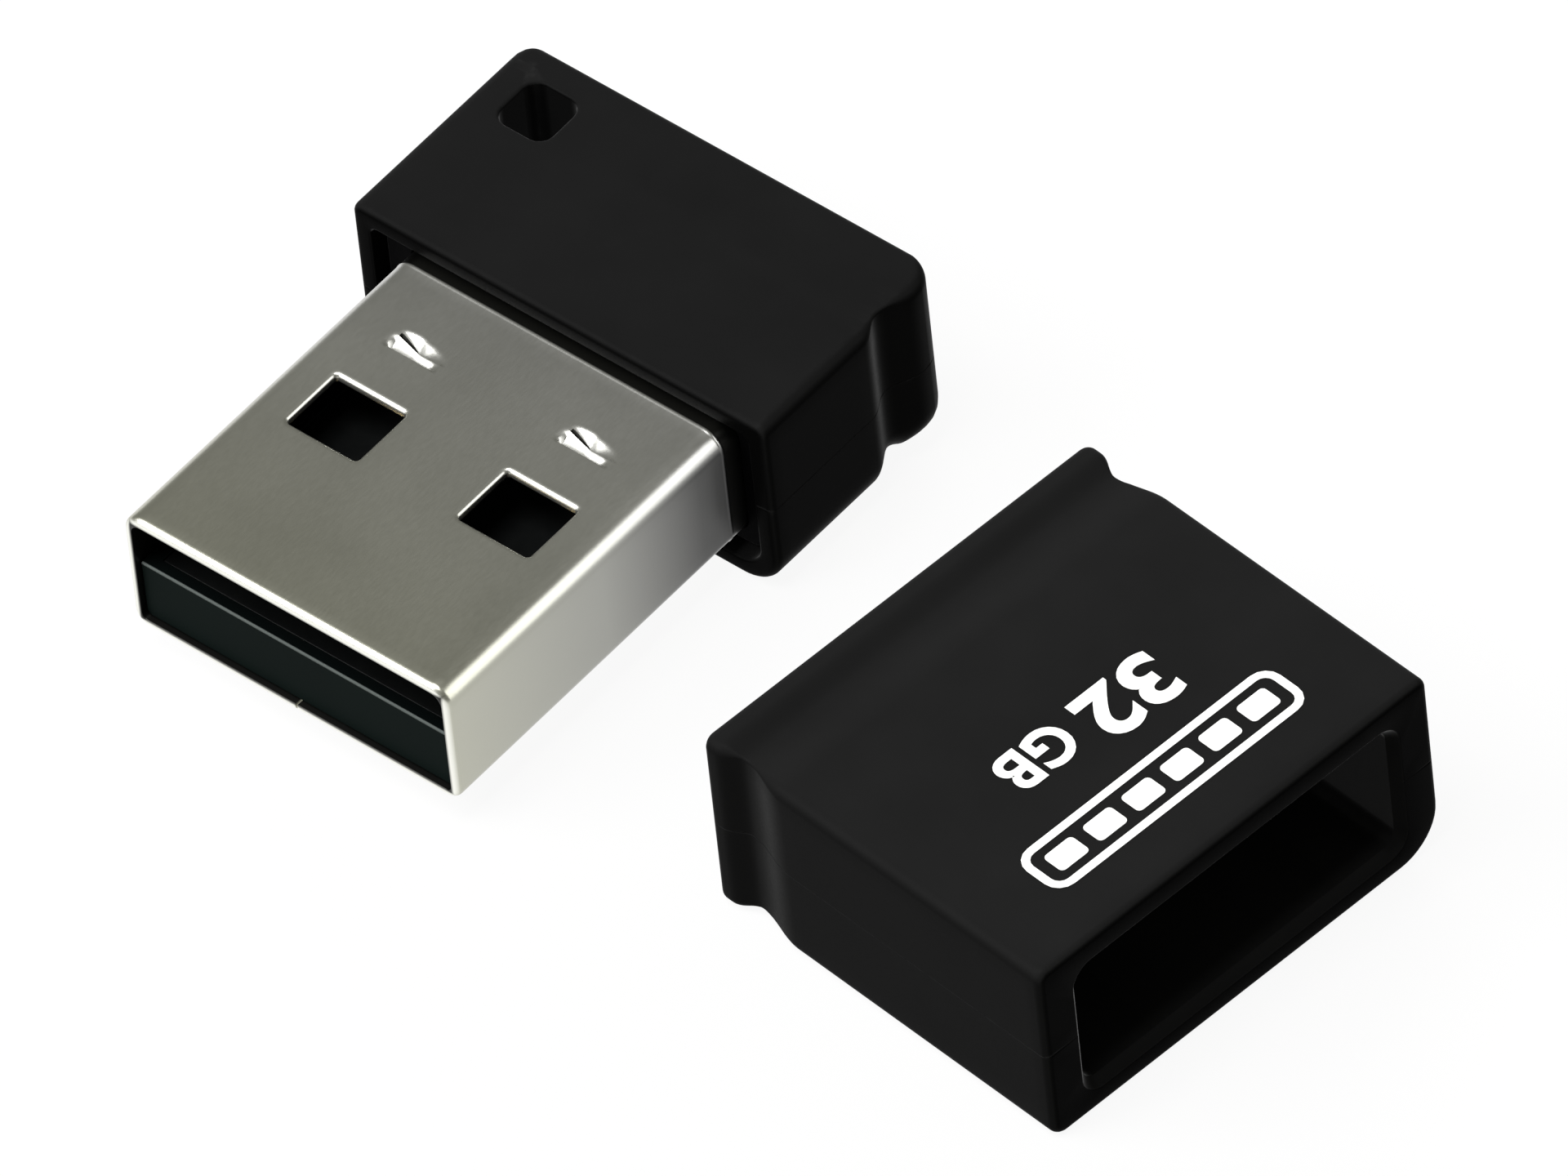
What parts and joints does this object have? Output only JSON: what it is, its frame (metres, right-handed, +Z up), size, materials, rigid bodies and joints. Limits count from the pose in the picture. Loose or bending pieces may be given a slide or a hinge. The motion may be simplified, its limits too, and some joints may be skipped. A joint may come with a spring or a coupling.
{
  "type": "usb flash drive",
  "caption": "Nano USB-A flash drive: short black body with a grip groove and a lanyard hole, steel plug, and a loose black cap that slips over the plug.",
  "frame": {"origin": "centre of the flat base of the drive's body, on the surface that the drive and the cap lie on", "axes": "+Z up; -Y along the plug, out of its mouth; X across the plug's width"},
  "size_m": [0.0362, 0.0199, 0.0068],
  "materials": {
    "housing_plastic": "black moulded plastic, satin with a fine texture",
    "collar_plastic": "black moulded plastic, matt",
    "plug_steel": "nickel-plated sheet steel, softly brushed",
    "tongue_plastic": "dark slate moulded plastic",
    "contact_gold": "gold-plated contact pads",
    "board_laminate": "black solder mask on glass-fibre laminate",
    "chip_epoxy": "moulded black epoxy",
    "solder": "tin solder, dull bright",
    "crystal_can": "drawn metal can",
    "capacitor_ceramic": "tan ceramic with tinned ends",
    "resistor_body": "black film on white ceramic with tinned ends",
    "spacer_plastic": "natural moulded plastic",
    "print_ink": "white pad-printed ink"
  },
  "bodies": {
    "drive": {"upper_housing": "housing_plastic", "lower_housing": "housing_plastic", "plug_collar": "collar_plastic", "plug_shell": "plug_steel", "contact_carrier": "tongue_plastic", "contact_power": "contact_gold", "contact_data_minus": "contact_gold", "contact_data_plus": "contact_gold", "contact_ground": "contact_gold", "circuit_board": "board_laminate", "memory_chip": "chip_epoxy", "memory_solder_balls": "solder", "controller_chip": "chip_epoxy", "crystal": "crystal_can", "capacitors": "capacitor_ceramic", "resistors": "resistor_body", "shell_solder": "solder", "rear_spacer": "spacer_plastic"},
    "cap": {"cap_upper_shell": "housing_plastic", "cap_lower_shell": "housing_plastic"}
  },
  "joints": [
    {"name": "cap_slide", "type": "slide", "parent": "drive", "child": "cap", "axis": [0.994, -0.1097, 0], "range_m": [0, 0.0125]}
  ]
}
